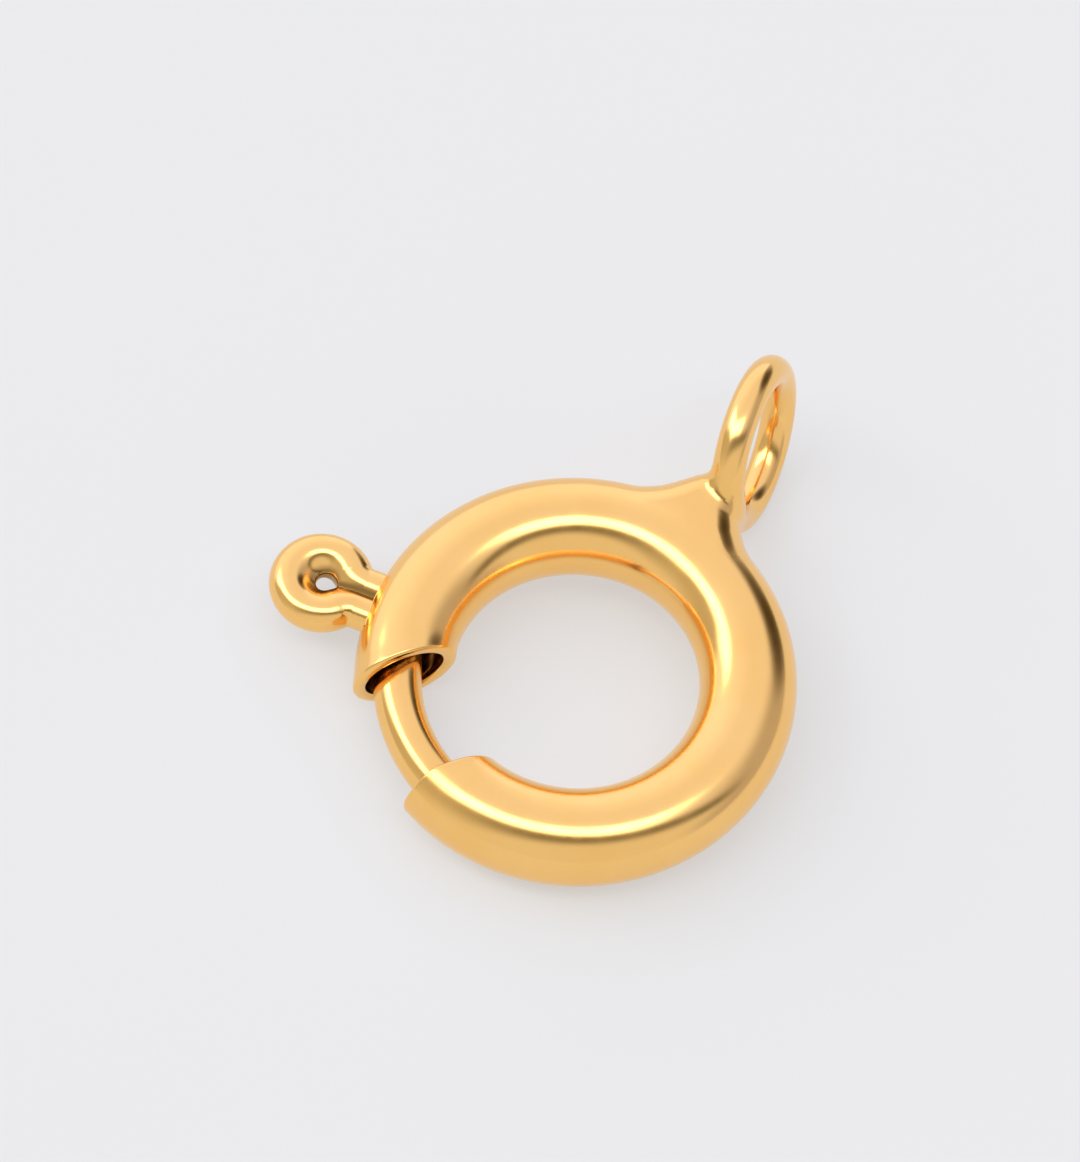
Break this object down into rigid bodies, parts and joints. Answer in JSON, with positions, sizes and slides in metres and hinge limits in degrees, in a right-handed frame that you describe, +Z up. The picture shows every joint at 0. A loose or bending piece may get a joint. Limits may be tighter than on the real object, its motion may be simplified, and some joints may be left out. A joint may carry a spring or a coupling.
{
  "type": "sailor clasp",
  "caption": "Round hollow ring clasp whose gap is closed by a sprung curved bolt with a keyhole trigger, with a soldered wire end loop for the chain.",
  "frame": {"origin": "the ring's centre, where its axis crosses the plane of the tube's middle line", "axes": "+Z up from the table, +Y along the clasp from the ring to the end loop, +X to the right; the ring lies tipped up about +X on its far edge and the end loop"},
  "size_m": [0.0159, 0.0186, 0.0054],
  "materials": {
    "gold_case": null,
    "gold_bolt": null,
    "spring_steel": "plain drawn stainless spring wire"
  },
  "bodies": {
    "case": {"ring_case": "gold_case", "spring": "spring_steel"},
    "bolt": {"bolt": "gold_bolt"}
  },
  "joints": [
    {"name": "bolt_turn", "type": "hinge", "parent": "case", "child": "bolt", "pos_m": [0, 0, 0], "axis": [0, 0.0882, -0.9961], "range_deg": [0, 52], "stiffness_Nm_per_rad": 0.015, "deforming": ["spring"]}
  ]
}
